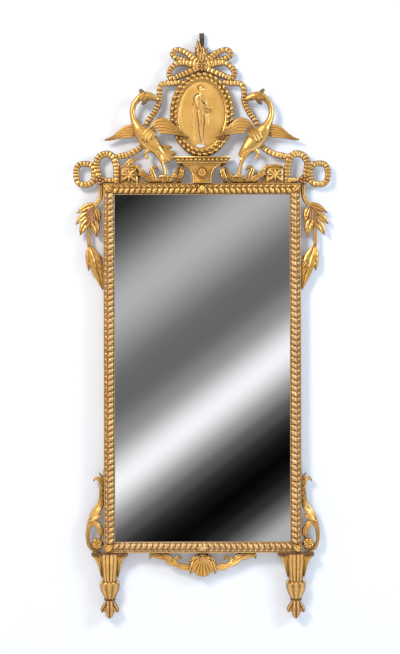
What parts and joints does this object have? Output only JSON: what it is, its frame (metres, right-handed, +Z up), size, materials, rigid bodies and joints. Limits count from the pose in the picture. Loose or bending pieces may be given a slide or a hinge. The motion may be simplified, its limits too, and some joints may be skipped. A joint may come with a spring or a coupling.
{
  "type": "wall mirror",
  "caption": "Tall neoclassical wall mirror: carved giltwood frame with rope edge, crest of birds, ribbons and an oval medallion, leaf sprays, drop feet and a shell apron.",
  "frame": {"origin": "axis of the hanging eye above the crest, in the middle of the strap's width", "axes": "+Z up, +Y towards the wall, +X to the right as seen from the front; the glass faces -Y"},
  "size_m": [0.7456, 0.054, 1.697],
  "materials": {
    "gilt_wood": "aged gold leaf over red bole on carved pine, worn on the high spots",
    "pine": "old unpainted softwood",
    "iron": "dark forged iron",
    "mirror_plate": "silvered glass plate"
  },
  "bodies": {
    "mirror": {"acanthus_scroll_left": "gilt_wood", "acanthus_scroll_right": "gilt_wood", "apron_scroll_left": "gilt_wood", "apron_scroll_right": "gilt_wood", "apron_shell": "gilt_wood", "back_screws": "iron", "backboard_left": "pine", "backboard_middle": "pine", "backboard_right": "pine", "bird_left": "gilt_wood", "bird_right": "gilt_wood", "bottom_rail": "gilt_wood", "bow_left": "gilt_wood", "bow_right": "gilt_wood", "bow_rosette": "gilt_wood", "corner_block_left": "gilt_wood", "corner_block_right": "gilt_wood", "corner_leaves": "gilt_wood", "crest_dowels": "pine", "foot_left": "gilt_wood", "foot_right": "gilt_wood", "glazing_blocks": "pine", "hanger_strap": "iron", "inner_wing_left": "gilt_wood", "inner_wing_right": "gilt_wood", "leaf_finial": "gilt_wood", "leaf_spray_left": "gilt_wood", "leaf_spray_right": "gilt_wood", "left_stile": "gilt_wood", "lower_ribbon_left": "gilt_wood", "lower_ribbon_right": "gilt_wood", "medallion_bead_frame": "gilt_wood", "medallion_figure": "gilt_wood", "medallion_panel": "gilt_wood", "mirror_plate": "mirror_plate", "outer_wing_left": "gilt_wood", "outer_wing_right": "gilt_wood", "plinth_body": "gilt_wood", "plinth_bracket_left": "gilt_wood", "plinth_bracket_right": "gilt_wood", "plinth_cornice": "gilt_wood", "plinth_rosette": "gilt_wood", "right_stile": "gilt_wood", "ring_plate_left": "iron", "ring_plate_right": "iron", "rope_moulding_bottom": "gilt_wood", "rope_moulding_left": "gilt_wood", "rope_moulding_right": "gilt_wood", "rope_moulding_top": "gilt_wood", "side_scroll_left": "gilt_wood", "side_scroll_right": "gilt_wood", "top_rail": "gilt_wood", "upper_ribbon_left": "gilt_wood", "upper_ribbon_right": "gilt_wood"},
    "turn_button_left_upper": {"turn_button_left_upper": "iron"},
    "turn_button_left_lower": {"turn_button_left_lower": "iron"},
    "hanging_ring_left": {"hanging_ring_left": "iron"},
    "turn_button_right_upper": {"turn_button_right_upper": "iron"},
    "turn_button_right_lower": {"turn_button_right_lower": "iron"},
    "hanging_ring_right": {"hanging_ring_right": "iron"}
  },
  "joints": [
    {"name": "turn_button_left_upper_turn", "type": "hinge", "parent": "mirror", "child": "turn_button_left_upper", "pos_m": [-0.2735, -0.0052, -0.683], "axis": [0, 1, 0], "range_deg": [0, 90]},
    {"name": "turn_button_left_lower_turn", "type": "hinge", "parent": "mirror", "child": "turn_button_left_lower", "pos_m": [-0.2735, -0.0052, -1.247], "axis": [0, 1, 0], "range_deg": [0, 90]},
    {"name": "hanging_ring_left_swing", "type": "hinge", "parent": "mirror", "child": "hanging_ring_left", "pos_m": [-0.2735, -0.00295, -0.581], "axis": [1, 0, 0], "range_deg": [0, 180]},
    {"name": "turn_button_right_upper_turn", "type": "hinge", "parent": "mirror", "child": "turn_button_right_upper", "pos_m": [0.2735, -0.0052, -0.683], "axis": [0, -1, 0], "range_deg": [0, 90]},
    {"name": "turn_button_right_lower_turn", "type": "hinge", "parent": "mirror", "child": "turn_button_right_lower", "pos_m": [0.2735, -0.0052, -1.247], "axis": [0, -1, 0], "range_deg": [0, 90]},
    {"name": "hanging_ring_right_swing", "type": "hinge", "parent": "mirror", "child": "hanging_ring_right", "pos_m": [0.2735, -0.00295, -0.581], "axis": [1, 0, 0], "range_deg": [0, 180]}
  ]
}
